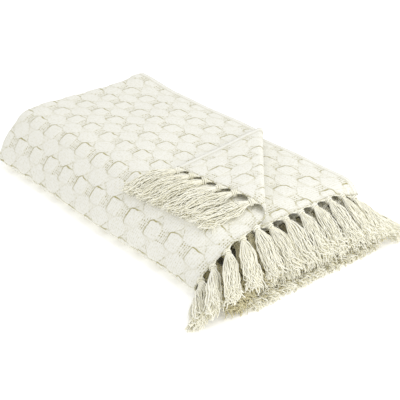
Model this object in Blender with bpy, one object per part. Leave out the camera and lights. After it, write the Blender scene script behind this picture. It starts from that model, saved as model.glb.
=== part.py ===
"""Folded cotton bedspread with a knotted tassel fringe.

The cloth is folded in half across its length, so that both fringed ends lie
together, and then in three across its width. One corner of the upper ply is
turned back over the top. Lengths run along +X to the fringed end, widths
along +Y to the open side, and the underside lies at z = 0 around the origin.
"""

import math

import bmesh
import bpy
from mathutils import Vector

# Cloth, in metres
CLOTH_THICKNESS = 0.003
PLY_LENGTH = 0.684
FOLD_X = -0.0155
LENGTH_STEPS = 24
END_CROWDING = 1.4
INNER_LENGTH_STEPS = 14
INNER_END_CROWDING = 2.0
TURN_STEPS = 4
TURN_BULGE = 1.0
SLOPE_REACH = 0.0005
EDGE_REACH = 0.004
ORIGIN_X = 0.350
ORIGIN_Y = 0.204

# Turned corner: the crease runs from the open side to the fringed edge
CREASE_ON_SIDE_X = 0.4147
CREASE_ON_EDGE_Y = 0.160
CREASE_RADIUS = 0.0085
CREASE_CUTS = 4
CUT_REACH = 1e-6
FLAP_LIFT = 0.0055
FLAP_SETTLING = 0.11

# Sag towards the fringed end and swells of the stack: depths are shares of its height
STACK_HEIGHT = 0.12
END_SAG = 0.15
END_SAG_START = 0.595
END_SAG_FULL = 0.700
NEAR_SAG_Y = 0.10
NEAR_SAG_EASE = 0.14
FAR_SAG = 0.04
FAR_SAG_START = 0.640
CORNER_SAG = 0.24
CORNER_SAG_START = 0.668
CORNER_SAG_LENGTH = 0.032
CORNER_SAG_Y = 0.325
CORNER_SAG_WIDTH = 0.075
LONG_SWELL = 0.011
LONG_SWELL_LENGTH = 0.36
LONG_SWELL_WIDTH = 0.52
LONG_SWELL_SHIFT = 0.07
SHORT_SWELL = 0.007
SHORT_SWELL_LENGTH = 0.19
SHORT_SWELL_WIDTH = 0.27

# Unevenness of the long side, in metres
SIDE_SWELL = 0.0022
SIDE_SWELL_LENGTH = 0.43
SIDE_SWELL_SHIFT = 0.1
SIDE_SWELL_DEPTH = 0.11
SIDE_SWELL_HEIGHT = 0.02

# Corner of the open side that curls up
OPEN_CORNER_Y = 0.33
OPEN_CORNER_WIDTH = 0.075
RAISED_CORNER = 0.0115
RAISED_CORNER_LENGTH = 0.13

# The inner ply hangs lower under the top, away from the fringed end
INNER_HANG = 0.018
INNER_HANG_WIDTH = 0.290
INNER_HANG_END = 0.44

# Fringe
TASSEL_PITCH = 0.0373
TASSEL_LENGTH = 0.104
STRIP_GAP = 0.0006
STRIP_DEPTH = 0.004
ROOT_WIDTH = 0.0075
KNOT_WIDTH = 0.0105
KNOT_HEIGHT = 0.0085
KNOT_LENGTH = 0.010
KNOT_STATIONS = (0.25, 0.75)
LOCKS = 3
LOCK_HEIGHT = 0.005
LOCK_TIP_HEIGHT = 0.0036
LOCK_STATIONS = (0.34, 0.68, 1.0)
LOCK_FILL = 0.80
LOCK_TAPER = 0.25
LENGTH_CHANGE = 0.06
LENGTH_CHANGE_TURN = 2.4
LOCK_SHORTER = 0.05
NECK_WIDTH = 0.0084
FAN_WIDTH = 0.026
FAN_OPENING = 0.8
LEVEL_LEAN = 0.15
LEAN_SPAN = 0.16
FLAP_LEAN = 0.046
FLAP_LEAN_BEND = 0.75
STEEPEST_SLANT = 0.95
TURNED_BY = 0.6

# Way of the cloth round the stack, seen from the fringed end.
# Columns: stretch, outer ply y and z, inner ply y and z,
# fringed edge x of the outer and the inner ply, mesh steps to the next row
SECTION = (
    ("open side", 0.4060, 0.1215, 0.4020, 0.1095, 0.684, 0.698, 1),
    ("top back", 0.3800, 0.1222, 0.3790, 0.1102, 0.684, 0.698, 6),
    ("top middle", 0.2500, 0.1226, 0.2500, 0.1104, 0.684, 0.698, 3),
    ("top front", 0.1500, 0.1229, 0.1520, 0.1100, 0.690, 0.692, 2),
    ("shoulder start", 0.1050, 0.1215, 0.1080, 0.1080, 0.700, 0.684, 2),
    ("shoulder", 0.0760, 0.1155, 0.0840, 0.1005, 0.700, 0.683, 2),
    ("upper slope", 0.0500, 0.0970, 0.0640, 0.0850, 0.698, 0.681, 1),
    ("middle slope", 0.0290, 0.0745, 0.0480, 0.0660, 0.692, 0.678, 1),
    ("lower slope", 0.0100, 0.0450, 0.0350, 0.0490, 0.684, 0.673, 2),
    ("belly", 0.0030, 0.0245, 0.0310, 0.0405, 0.680, 0.670, 2),
    ("toe", 0.0150, 0.0085, 0.0370, 0.0345, 0.678, 0.669, 2),
    ("floor front", 0.0340, 0.0015, 0.0500, 0.0325, 0.676, 0.668, 3),
    ("floor middle", 0.2000, 0.0015, 0.2000, 0.0320, 0.674, 0.668, 3),
    ("floor back", 0.3700, 0.0015, 0.3620, 0.0325, 0.672, 0.666, 2),
    ("back toe", 0.3940, 0.0110, 0.3760, 0.0330, 0.678, 0.668, 2),
    ("back belly", 0.4075, 0.0480, 0.3870, 0.0490, 0.690, 0.670, 2),
    ("back shoulder", 0.4020, 0.0850, 0.3840, 0.0740, 0.697, 0.672, 2),
    ("back top", 0.3830, 0.1000, 0.3710, 0.0840, 0.698, 0.672, 2),
    ("inside back", 0.3400, 0.0960, 0.3330, 0.0800, 0.696, 0.668, 3),
    ("inside middle", 0.2000, 0.0830, 0.2000, 0.0670, 0.680, 0.662, 3),
    ("inside edge", 0.0960, 0.0770, 0.1000, 0.0610, 0.672, 0.660, 0),
)
OUTER = 0
INNER = 1
TURN_FROM = -1.0
INNER_FROM = -2.0

# Fringe strips along the edges of the two plies.
# Columns: name, ply, first stretch and place in it, last stretch and place,
# share of the root's height at the tip, lowest tip, bend, outward splay in radians
FRINGES = (
    ("fringe_top_inner", INNER, "open side", 0.10, "top front", 0.20, 0.42, 0.0, 1.5, 0.05),
    ("fringe_front", OUTER, "top front", 0.05, "toe", 0.60, 0.46, 0.0025, 1.4, 0.68),
    ("fringe_front_inner", INNER, "top front", 0.35, "toe", 0.80, 0.36, 0.0100, 1.3, 0.12),
    ("fringe_floor", OUTER, "floor front", 0.05, "floor back", 0.90, 0.0, 0.0025, 0.6, 0.03),
    ("fringe_floor_inner", INNER, "floor front", 0.10, "floor back", 0.90, 0.0, 0.0098, 0.4, 0.03),
    ("fringe_back", OUTER, "back toe", 0.20, "inside edge", 0.00, 0.38, 0.0098, 1.3, 0.34),
    ("fringe_back_inner", INNER, "back toe", 0.60, "inside edge", 0.00, 0.38, 0.0100, 1.2, 0.05),
)
FLAP_ROOTS = (0.012, 0.050, 0.083, 0.124, 0.160, 0.203)
FLAP_STRIP_END = 0.222
FLAP_CLEARANCE = 0.0005

COTTON_COLOUR = (0.86, 0.84, 0.75, 1.0)
YARN_COLOUR = (0.88, 0.86, 0.77, 1.0)
MATTE = 0.95


def smooth(share):
    """Ease from 0 to 1 with level ends."""
    share = min(max(share, 0.0), 1.0)
    return share * share * (3.0 - 2.0 * share)


def row_ways():
    """Distance across the cloth to each row of the section."""
    ways = [0.0]
    for before, after in zip(SECTION, SECTION[1:]):
        ways.append(ways[-1] + math.dist(before[1:3], after[1:3]))
    return ways


WAYS = row_ways()
CLOTH_WIDTH = WAYS[-1]
ROW_NUMBER = {row[0]: number for number, row in enumerate(SECTION)}


def row_slopes(column):
    """Slopes that keep a column between its own values."""
    values = [row[column] for row in SECTION]
    steps = [b - a for a, b in zip(WAYS, WAYS[1:])]
    rises = [(b - a) / step for a, b, step in zip(values, values[1:], steps)]
    slopes = [rises[0]]
    for left, right in zip(rises, rises[1:]):
        same_way = left * right > 0.0
        slopes.append(2.0 * left * right / (left + right) if same_way else 0.0)
    slopes.append(rises[-1])
    return slopes


SLOPES = {column: row_slopes(column) for column in range(1, 7)}


def row_way(name, share):
    """Distance across the cloth to a share of the way past a named row."""
    number = ROW_NUMBER[name]
    ahead = WAYS[min(number + 1, len(WAYS) - 1)] - WAYS[number]
    return WAYS[number] + share * ahead


def read_column(column, way):
    """Value of a section column at a distance across the cloth."""
    way = min(max(way, 0.0), CLOTH_WIDTH)
    number = max(i for i in range(len(WAYS) - 1) if WAYS[i] <= way)
    step = WAYS[number + 1] - WAYS[number]
    u = (way - WAYS[number]) / step
    start, end = SECTION[number][column], SECTION[number + 1][column]
    rise, fall = SLOPES[column][number] * step, SLOPES[column][number + 1] * step
    return (
        (2 * u**3 - 3 * u**2 + 1) * start
        + (u**3 - 2 * u**2 + u) * rise
        + (3 * u**2 - 2 * u**3) * end
        + (u**3 - u**2) * fall
    )


def way_marks():
    """Mesh rows across the cloth."""
    marks = []
    for number, row in enumerate(SECTION[:-1]):
        for step in range(row[7]):
            marks.append(WAYS[number] + (WAYS[number + 1] - WAYS[number]) * step / row[7])
    return marks + [CLOTH_WIDTH]


MARKS = way_marks()


def edge_x(ply, way):
    """Where a ply's fringed edge lies: straight between the mesh rows."""
    way = min(max(way, 0.0), CLOTH_WIDTH)
    number = max(i for i in range(len(MARKS) - 1) if MARKS[i] <= way)
    low, high = MARKS[number], MARKS[number + 1]
    start, end = read_column(5 + ply, low), read_column(5 + ply, high)
    return start + (end - start) * (way - low) / (high - low)


def section_point(ply, way, lift=0.0):
    """Point (y, z) of a ply's section, lifted off its outer face."""
    y, z = read_column(1 + 2 * ply, way), read_column(2 + 2 * ply, way)
    if lift:
        along = section_tangent(ply, way)
        y, z = y + lift * along[1], z - lift * along[0]
    return y, z


def section_tangent(ply, way):
    """Unit direction (y, z) of a ply's section."""
    low, high = max(way - SLOPE_REACH, 0.0), min(way + SLOPE_REACH, CLOTH_WIDTH)
    y0, z0 = read_column(1 + 2 * ply, low), read_column(2 + 2 * ply, low)
    y1, z1 = read_column(1 + 2 * ply, high), read_column(2 + 2 * ply, high)
    span = math.hypot(y1 - y0, z1 - z0)
    return (y1 - y0) / span, (z1 - z0) / span


def settle(point):
    """Let a point of the even stack sag and swell, and move it to the origin."""
    x, y, z = point
    height = max(z - CLOTH_THICKNESS / 2, 0.0)
    near_part = 1.0 - smooth((y - NEAR_SAG_Y) / NEAR_SAG_EASE)
    corner_part = smooth((y - CORNER_SAG_Y) / CORNER_SAG_WIDTH)
    near_end = smooth((x - END_SAG_START) / (END_SAG_FULL - END_SAG_START))
    far_end = smooth((x - FAR_SAG_START) / (END_SAG_FULL - FAR_SAG_START))
    corner_end = min(max((x - CORNER_SAG_START) / CORNER_SAG_LENGTH, 0.0), 1.0) ** 2
    fall = END_SAG * near_end * near_part + FAR_SAG * far_end * (1.0 - near_part)
    fall += CORNER_SAG * corner_end * corner_part
    long_turn = 2 * math.pi * (x / LONG_SWELL_LENGTH + LONG_SWELL_SHIFT)
    short_turn = 2 * math.pi * (x / SHORT_SWELL_LENGTH + y / SHORT_SWELL_WIDTH)
    side_turn = 2 * math.pi * (x / SIDE_SWELL_LENGTH - SIDE_SWELL_SHIFT)
    swell = LONG_SWELL * math.sin(long_turn) * math.cos(2 * math.pi * y / LONG_SWELL_WIDTH)
    swell += SHORT_SWELL * math.sin(short_turn)
    open_corner = smooth((y - OPEN_CORNER_Y) / OPEN_CORNER_WIDTH)
    raised = smooth(1.0 - x / RAISED_CORNER_LENGTH) * open_corner * height / STACK_HEIGHT
    lean = max(1.0 - abs(y) / SIDE_SWELL_DEPTH, 0.0) * math.sin(side_turn)
    z += height * (swell - fall) + RAISED_CORNER * raised
    y += SIDE_SWELL * lean * min(height / SIDE_SWELL_HEIGHT, 1.0)
    return Vector((x - ORIGIN_X, y - ORIGIN_Y, z))


def crease():
    """A point of the crease on the flat cloth and its direction."""
    on_side = Vector((CREASE_ON_SIDE_X, 0.0))
    on_edge = Vector((PLY_LENGTH, SECTION[0][1] - CREASE_ON_EDGE_Y))
    return on_side, (on_edge - on_side).normalized()


def past_crease(flat):
    """Distance of a flat point past the start of the crease's bend."""
    on_side, along = crease()
    away = flat - on_side
    return away.x * along.y - away.y * along.x + CREASE_RADIUS


def turn_corner(flat):
    """Flat point and lift of the outer ply once its corner is turned back."""
    past = past_crease(flat)
    if past <= 0.0:
        return flat, 0.0
    on_side, along = crease()
    across = Vector((along.y, -along.x))
    half_turn = math.pi * CREASE_RADIUS
    if past < half_turn:
        angle = past / CREASE_RADIUS
        forward = CREASE_RADIUS * math.sin(angle)
        lift = CREASE_RADIUS * (1.0 - math.cos(angle))
    else:
        forward = half_turn - past
        settled = smooth((past - half_turn) / FLAP_SETTLING)
        lift = 2 * CREASE_RADIUS + (FLAP_LIFT - 2 * CREASE_RADIUS) * settled
    return flat + across * (forward - past), lift


def outer_place(x_flat, way, lift=0.0):
    """Place of a point of the outer ply, given on the flat cloth."""
    flat, turned_lift = turn_corner(Vector((x_flat, way)))
    x = flat.x * edge_x(OUTER, flat.y) / PLY_LENGTH
    y, z = section_point(OUTER, flat.y, turned_lift + lift)
    return Vector((x, y, z))


def inner_hang(x, way):
    """How far the inner ply hangs below its section under the top."""
    across = math.sin(math.pi * min(way / INNER_HANG_WIDTH, 1.0)) ** 2
    return INNER_HANG * across * (1.0 - smooth(x / INNER_HANG_END))


def turn_place(share, way):
    """Place in the turn that joins the plies at the folded end."""
    outer = Vector(section_point(OUTER, way))
    inner = Vector(section_point(INNER, way)) - Vector((0.0, inner_hang(0.0, way)))
    middle, half = (outer + inner) / 2, (outer - inner) / 2
    angle = math.pi * share
    round_point = middle + half * math.cos(angle)
    bulge = TURN_BULGE * half.length * math.sin(angle)
    return Vector((FOLD_X - bulge, round_point.x, round_point.y))


def inner_place(x_share, way):
    """Place of a point of the inner ply, by its share of the ply's length."""
    x = FOLD_X + x_share * (edge_x(INNER, way) - FOLD_X)
    y, z = section_point(INNER, way)
    return Vector((x, y, z - inner_hang(x, way)))


def flat_columns():
    """Mesh columns along the cloth: the kind of each and its share."""
    columns = [("outer", 1.0 - (i / LENGTH_STEPS) ** END_CROWDING) for i in range(LENGTH_STEPS + 1)]
    columns += [("turn", i / TURN_STEPS) for i in range(1, TURN_STEPS)]
    for i in range(INNER_LENGTH_STEPS, -1, -1):
        columns.append(("inner", 1.0 - (i / INNER_LENGTH_STEPS) ** INNER_END_CROWDING))
    return columns


def material(name, colour, roughness):
    """Principled material of one colour."""
    made = bpy.data.materials.new(name)
    made.use_nodes = True
    shader = made.node_tree.nodes["Principled BSDF"]
    shader.inputs["Base Color"].default_value = colour
    shader.inputs["Roughness"].default_value = roughness
    shader.inputs["Metallic"].default_value = 0.0
    return made


def link_mesh(name, bm, cloth_material):
    """Turn a bmesh into a named object."""
    mesh = bpy.data.meshes.new(name)
    bm.to_mesh(mesh)
    bm.free()
    made = bpy.data.objects.new(name, mesh)
    made.data.materials.append(cloth_material)
    bpy.context.scene.collection.objects.link(made)
    return made


def make_cloth(cloth_material):
    """Folded cloth as one sheet: cut flat, creased, then folded up."""
    columns = flat_columns()
    bm = bmesh.new()
    bmesh.ops.create_grid(bm, x_segments=len(columns) - 1, y_segments=len(MARKS) - 1, size=0.5)
    # The grid's points get their places on the flat cloth. The outer ply has its
    # real x, and the turn and the inner ply follow at their own shares below it.
    for vert in bm.verts:
        column = round((vert.co.x + 0.5) * (len(columns) - 1))
        row = round((vert.co.y + 0.5) * (len(MARKS) - 1))
        kind, share = columns[column]
        outer_x = FOLD_X + share * (PLY_LENGTH - FOLD_X)
        x_flat = {"outer": outer_x, "turn": TURN_FROM - share, "inner": INNER_FROM - share}[kind]
        vert.co = Vector((x_flat, MARKS[row], 0.0))
    on_side, along = crease()
    across = Vector((along.y, -along.x))
    for cut in range(CREASE_CUTS + 1):
        past = math.pi * CREASE_RADIUS * cut / CREASE_CUTS - CREASE_RADIUS
        start = on_side + across * past
        outer_faces = [f for f in bm.faces if min(v.co.x for v in f.verts) > TURN_FROM]
        parts = set(outer_faces)
        for face in outer_faces:
            parts.update(face.edges)
            parts.update(face.verts)
        bmesh.ops.bisect_plane(
            bm,
            geom=list(parts),
            dist=CUT_REACH,
            plane_co=(start.x, start.y, 0.0),
            plane_no=(across.x, across.y, 0.0),
        )
    for vert in bm.verts:
        x_flat, way = vert.co.x, vert.co.y
        if x_flat > TURN_FROM:
            place = outer_place(x_flat, way)
        elif x_flat > INNER_FROM:
            place = turn_place(TURN_FROM - x_flat, way)
        else:
            place = inner_place(INNER_FROM - x_flat, way)
        vert.co = settle(place)
    bmesh.ops.recalc_face_normals(bm, faces=bm.faces)
    cloth = link_mesh("bedspread_cloth", bm, cloth_material)
    shell = cloth.modifiers.new("cloth thickness", "SOLIDIFY")
    shell.thickness = CLOTH_THICKNESS
    shell.offset = 0.0
    return cloth


def droop(root_z, beyond, share, lowest, bend):
    """Height of a tassel at a distance from its edge, and its reach along X."""
    tip_z = max(root_z * share, lowest)
    along = min(beyond / TASSEL_LENGTH, 1.0)
    if bend < 1.0:
        height = tip_z + (root_z - tip_z) * (1.0 - along) ** 3
    else:
        height = root_z - (root_z - tip_z) * along**bend
    slant = min((root_z - tip_z) / TASSEL_LENGTH, STEEPEST_SLANT)
    return height, beyond * math.sqrt(1.0 - slant**2)


def edge_place(ply, way, back=0.0):
    """Settled place on a ply's fringed edge, or a little back from it."""
    y, z = section_point(ply, way)
    return settle((edge_x(ply, way) - back, y, z))


def strip_place(ply, way, beyond, aside, up):
    """Place on a fringe's strip, which goes on from the cloth's edge at its own tilt."""
    centre = edge_place(ply, way)
    onward = (centre - edge_place(ply, way, EDGE_REACH)).normalized()
    along = (edge_place(ply, way + SLOPE_REACH) - edge_place(ply, way - SLOPE_REACH)).normalized()
    off = along.cross(onward).normalized()
    return centre + onward * (STRIP_GAP + beyond) + along * aside + off * up


def side_lean(y):
    """How much the tassels splay outwards at a place across the stack."""
    to_side = min(y, SECTION[0][1] - y)
    lean = LEVEL_LEAN + (1.0 - LEVEL_LEAN) * smooth(1.0 - to_side / LEAN_SPAN)
    return lean if y > ORIGIN_Y else -lean


def hanging_place(ply, hang, way, beyond, aside, up):
    """Place on a free fringe: beyond its edge, aside along it, up off its middle."""
    if beyond <= STRIP_DEPTH:
        return strip_place(ply, way, beyond, aside, up)
    share, lowest, bend, outward = hang
    y, z = section_point(ply, way)
    along_y, along_z = section_tangent(ply, way)
    height, reach = droop(z, beyond, share, lowest, bend)
    splay = outward * side_lean(y)
    # A tassel from an upright edge turns level on its way down
    turned = smooth(beyond / (TURNED_BY * TASSEL_LENGTH))
    level = 1.0 if along_y > 0.0 else -1.0
    side = Vector((along_y + (level - along_y) * turned, along_z * (1.0 - turned))).normalized()
    return settle(Vector((
        edge_x(ply, way) + STRIP_GAP + reach * math.cos(splay),
        y + beyond * math.sin(splay) + aside * side.x + up * side.y,
        height + aside * side.y - up * side.x,
    )))


def turned_place(way, beyond, aside, up):
    """Place on the turned corner's fringe, which lies on the cloth."""
    swept = FLAP_LEAN * (max(beyond - STRIP_DEPTH, 0.0) / TASSEL_LENGTH) ** FLAP_LEAN_BEND
    return settle(outer_place(PLY_LENGTH + STRIP_GAP + beyond, way + aside - swept, up))


def spaced_roots(first, last):
    """Even places for the tassels between two ends of a strip, beside the cloth's rows."""
    count = max(1, round((last - first) / TASSEL_PITCH))
    roots = [first + (last - first) * (number + 0.5) / count for number in range(count)]
    return [beside_rows(root) for root in roots]


def beside_rows(root):
    """Move a tassel's place so that no row of the cloth's mesh crosses it."""
    keep = ROOT_WIDTH / 2 + STRIP_GAP
    nearest = min(MARKS, key=lambda mark: abs(mark - root))
    if abs(nearest - root) >= keep:
        return root
    return nearest + math.copysign(keep, root - nearest)


def strip_stations(first, last, roots):
    """Stations along a strip: both sides of each root, and the cloth's rows."""
    stations = [first, last]
    for root in roots:
        stations += [root - ROOT_WIDTH / 2, root + ROOT_WIDTH / 2]
    stations += [mark for mark in MARKS if first + STRIP_GAP < mark < last - STRIP_GAP]
    return sorted(stations)


def section_ring(place, way, beyond, aside, width, height, lift):
    """Corners of a knot or lock, keyed by their side and their height."""
    corners = {
        (side, level): place(way, beyond, aside + (side - 0.5) * width, lift + (level - 0.5) * height)
        for side in (0, 1)
        for level in (0, 1)
    }
    sunk = min(0.0, min(corner.z for corner in corners.values()))
    return {key: corner - Vector((0.0, 0.0, sunk)) for key, corner in corners.items()}


def pull_face(bm, face, keys, corners):
    """Extrude a face to new corners, and key the new face's points."""
    old_keys = {tuple(vert.co): key for vert, key in keys.items()}
    pulled = bmesh.ops.extrude_discrete_faces(bm, faces=[face])["faces"][0]
    new_keys = {vert: old_keys[tuple(vert.co)] for vert in pulled.verts}
    for vert, key in new_keys.items():
        vert.co = corners[key]
    return pulled, new_keys


def cut_edge(start, end, parts):
    """Cut the edge between two points into equal parts; all its points."""
    points = [start]
    for number in range(parts - 1):
        edge = next(e for e in points[-1].link_edges if end in e.verts)
        points.append(bmesh.utils.edge_split(edge, points[-1], 1.0 / (parts - number))[1])
    return points + [end]


def split_columns(face, keys, parts):
    """Split a four-sided face into keyed columns side by side."""
    at = {key: vert for vert, key in keys.items()}
    lower = cut_edge(at[(0, 0)], at[(1, 0)], parts)
    upper = cut_edge(at[(0, 1)], at[(1, 1)], parts)
    rest = face
    for low, high in zip(lower[1:-1], upper[1:-1]):
        rest = next(f for f in low.link_faces if high in f.verts)
        bmesh.utils.face_split(rest, low, high)
    columns = []
    for number in range(parts):
        column_keys = {
            lower[number]: (0, 0),
            lower[number + 1]: (1, 0),
            upper[number + 1]: (1, 1),
            upper[number]: (0, 1),
        }
        column = next(f for f in lower[number].link_faces if set(f.verts) == set(column_keys))
        columns.append((column, column_keys))
    return columns


def make_tassel(bm, face, keys, place, way, number, clearance):
    """Knot and locks pulled out of one face of a strip."""

    def lift_for(height):
        return max(0.0, height / 2 - clearance)

    knot_end = STRIP_DEPTH + KNOT_LENGTH
    rings = [(STRIP_DEPTH + share * KNOT_LENGTH, KNOT_WIDTH, KNOT_HEIGHT) for share in KNOT_STATIONS]
    rings.append((knot_end, NECK_WIDTH, LOCK_HEIGHT))
    for beyond, width, height in rings:
        corners = section_ring(place, way, beyond, 0.0, width, height, lift_for(height))
        face, keys = pull_face(bm, face, keys, corners)
    length = TASSEL_LENGTH * (1.0 - LENGTH_CHANGE * math.sin(LENGTH_CHANGE_TURN * number) ** 2)
    for column, (lock, lock_keys) in enumerate(split_columns(face, keys, LOCKS)):
        offset = (column + 0.5) / LOCKS - 0.5
        reach = length * (1.0 - LOCK_SHORTER * ((column + number) % LOCKS))
        for share in LOCK_STATIONS:
            fan = NECK_WIDTH + (FAN_WIDTH - NECK_WIDTH) * share**FAN_OPENING
            width = fan / LOCKS * LOCK_FILL * (1.0 - LOCK_TAPER * share)
            height = LOCK_HEIGHT + (LOCK_TIP_HEIGHT - LOCK_HEIGHT) * share
            beyond = knot_end + (reach - knot_end) * share
            corners = section_ring(
                place, way, beyond, offset * fan, width, height, lift_for(height)
            )
            lock, lock_keys = pull_face(bm, lock, lock_keys, corners)


def make_fringe(name, place, first, last, roots, clearance, yarn):
    """One strip along the cloth's edge with its tassels fused to it."""
    bm = bmesh.new()
    half = CLOTH_THICKNESS / 2
    stations = strip_stations(first, last, roots)
    rows = [
        [
            bm.verts.new(place(way, beyond, 0.0, up))
            for beyond, up in ((0.0, -half), (STRIP_DEPTH, -half), (STRIP_DEPTH, half), (0.0, half))
        ]
        for way in stations
    ]
    fronts = []
    for a, b in zip(rows, rows[1:]):
        bm.faces.new((a[0], a[1], b[1], b[0]))
        bm.faces.new((a[2], a[3], b[3], b[2]))
        bm.faces.new((a[3], a[0], b[0], b[3]))
        front = bm.faces.new((a[1], a[2], b[2], b[1]))
        fronts.append((front, {a[1]: (0, 0), a[2]: (0, 1), b[2]: (1, 1), b[1]: (1, 0)}))
    bm.faces.new(rows[0])
    bm.faces.new(reversed(rows[-1]))
    for number, root in enumerate(roots):
        spans = zip(stations, stations[1:])
        front, keys = fronts[next(i for i, (a, b) in enumerate(spans) if a < root < b)]
        make_tassel(bm, front, keys, place, root, number, clearance)
    bmesh.ops.recalc_face_normals(bm, faces=bm.faces)
    return link_mesh(name, bm, yarn)


def make_hanging_fringes(yarn):
    """Fringe strips on the free edges of both plies."""
    for name, ply, first_row, first_share, last_row, last_share, *hang in FRINGES:
        first, last = row_way(first_row, first_share), row_way(last_row, last_share)

        def place(way, beyond, aside, up, ply=ply, hang=hang):
            return hanging_place(ply, hang, way, beyond, aside, up)

        roots = spaced_roots(first, last)
        make_fringe(name, place, first, last, roots, LOCK_HEIGHT / 2, yarn)


def make_turned_fringe(yarn):
    """Fringe on the turned corner, lying on the cloth."""
    roots = [beside_rows(root) for root in FLAP_ROOTS]
    clearance = FLAP_LIFT - CLOTH_THICKNESS / 2 - FLAP_CLEARANCE
    make_fringe("fringe_turned", turned_place, 0.0, FLAP_STRIP_END, roots, clearance, yarn)


def main():
    for leftover in list(bpy.data.objects):
        bpy.data.objects.remove(leftover, do_unlink=True)
    cotton = material("woven cotton", COTTON_COLOUR, MATTE)
    yarn = material("twisted cotton yarn", YARN_COLOUR, MATTE)
    make_cloth(cotton)
    make_turned_fringe(yarn)
    make_hanging_fringes(yarn)


main()
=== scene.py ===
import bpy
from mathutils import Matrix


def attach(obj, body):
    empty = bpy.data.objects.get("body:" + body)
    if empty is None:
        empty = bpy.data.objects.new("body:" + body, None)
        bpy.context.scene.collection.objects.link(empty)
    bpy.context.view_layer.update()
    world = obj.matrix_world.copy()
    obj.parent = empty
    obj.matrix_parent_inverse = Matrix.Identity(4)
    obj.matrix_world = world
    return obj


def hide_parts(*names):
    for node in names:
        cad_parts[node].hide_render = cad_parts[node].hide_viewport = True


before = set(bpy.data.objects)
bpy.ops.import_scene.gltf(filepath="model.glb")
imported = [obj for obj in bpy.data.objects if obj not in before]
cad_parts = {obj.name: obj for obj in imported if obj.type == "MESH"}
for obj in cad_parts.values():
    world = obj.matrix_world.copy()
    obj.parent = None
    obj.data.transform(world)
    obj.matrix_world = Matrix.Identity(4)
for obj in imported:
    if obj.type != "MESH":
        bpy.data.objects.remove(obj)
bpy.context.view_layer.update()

import bisect
import math
import random

import bmesh
import bpy
from bpy.props import FloatProperty, FloatVectorProperty, IntProperty, PointerProperty
from mathutils import Vector

bl_info = {
    "name": "Tasselled bedspread",
    "version": (1, 0, 0),
    "blender": (4, 5, 0),
    "location": "View3D > Sidebar > Bedspread",
    "description": "Folded basket-weave bedspread with a knotted tassel fringe",
    "category": "Object",
}

# Cloth and its folds, in metres, as in the solids
CLOTH_THICKNESS = 0.003
PLY_LENGTH = 0.684
FOLD_X = -0.0155
TURN_BULGE = 1.0
TURN_LENGTH = 0.020
SLOPE_REACH = 0.0005
ORIGIN_X = 0.350
ORIGIN_Y = 0.204

# Turned corner, which lies a little higher than in the solids, clear of the relief below it
CREASE_ON_SIDE_X = 0.4147
CREASE_ON_EDGE_Y = 0.160
CREASE_RADIUS = 0.0085
CREASE_CUTS = 8
CREASE_EASE = 0.4
CUT_REACH = 1e-5
FLAP_LIFT = 0.0085
FLAP_SETTLING = 0.11

# Sag towards the fringed end and swells of the stack, as shares of its height
STACK_HEIGHT = 0.12
END_SAG = 0.15
END_SAG_START = 0.595
END_SAG_FULL = 0.700
NEAR_SAG_Y = 0.10
NEAR_SAG_EASE = 0.14
FAR_SAG = 0.04
FAR_SAG_START = 0.640
CORNER_SAG = 0.24
CORNER_SAG_START = 0.668
CORNER_SAG_LENGTH = 0.032
CORNER_SAG_Y = 0.325
CORNER_SAG_WIDTH = 0.075
LONG_SWELL = 0.011
LONG_SWELL_LENGTH = 0.36
LONG_SWELL_WIDTH = 0.52
LONG_SWELL_SHIFT = 0.07
SHORT_SWELL = 0.007
SHORT_SWELL_LENGTH = 0.19
SHORT_SWELL_WIDTH = 0.27

# Unevenness of the long side
SIDE_SWELL = 0.0022
SIDE_SWELL_LENGTH = 0.43
SIDE_SWELL_SHIFT = 0.1
SIDE_SWELL_DEPTH = 0.11
SIDE_SWELL_HEIGHT = 0.02

# Corner of the open side that curls up
OPEN_CORNER_Y = 0.33
OPEN_CORNER_WIDTH = 0.075
RAISED_CORNER = 0.0115
RAISED_CORNER_LENGTH = 0.13

# The inner ply hangs lower under the top, away from the fringed end
INNER_HANG = 0.018
INNER_HANG_WIDTH = 0.290
INNER_HANG_END = 0.44

# Weave: one raised square and one smooth lens in each cell of the basket weave.
# Half sizes and edges are shares of a cell, and the rest is in metres.
CELL_LENGTH = 0.0600
CELL_WIDTH = 0.0645
FIRST_SQUARE_X = 0.0461
FIRST_SQUARE_WAY = 0.4677
SQUARE_HALF_LENGTH = 0.335
SQUARE_HALF_WIDTH = 0.285
SQUARE_STEEP_EDGE = 0.20
SQUARE_SOFT_EDGE = 0.24
SQUARE_ROUND = 0.009
LENS_HALF_LENGTH = 0.48
LENS_HALF_WIDTH = 0.36
LENS_POWER = 1.35
LENS_HEIGHT = 0.65

# Uneven patches and open spots, 20 mm and 5 mm across, that move and fade the lines
WANDER = 0.011
UNEVEN_SCALE = 50.0
UNEVEN_DETAIL = 2.0
SPECKLE_SCALE = 210.0
FINE_DETAIL = 1.0

# Threads: real ones are about 1 mm apart, and these streaks are 1.8 mm apart and 8 mm
# long, as coarse as they need to be to show
THREADS_ALONG = (120.0, 560.0, 1.0)
THREADS_ACROSS = (560.0, 120.0, 1.0)
THREAD_STREAKS = (0.30, 0.42)
THREAD_SHADE = 0.7
THREAD_HEIGHT = 0.8

# Rims of the raised squares, painted shade of the grooves round them: wider on top, where more of the
# shaded groove shows, strongest on the sides turned from the light, away from the fringed end and the
# near side on both plies, and faded in patches
RIM_INSET = 0.0016
RIM_WIDTH_ON_TOP = 0.0030
RIM_WIDTH_ON_SIDE = 0.0022
TOP_TO_SIDE_WAYS = (0.27, 0.35)
RIM_FADE = (0.25, 1.0)
RIM_SLANT = 0.8
RIM_SIDES = (-0.30, 0.16)
RIM_FAINT_SHARE = 0.16
RIM_PATCHES = (0.36, 0.56)
RIM_PATCH_SHARE = 0.55
RIM_DARK = 0.84
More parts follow.
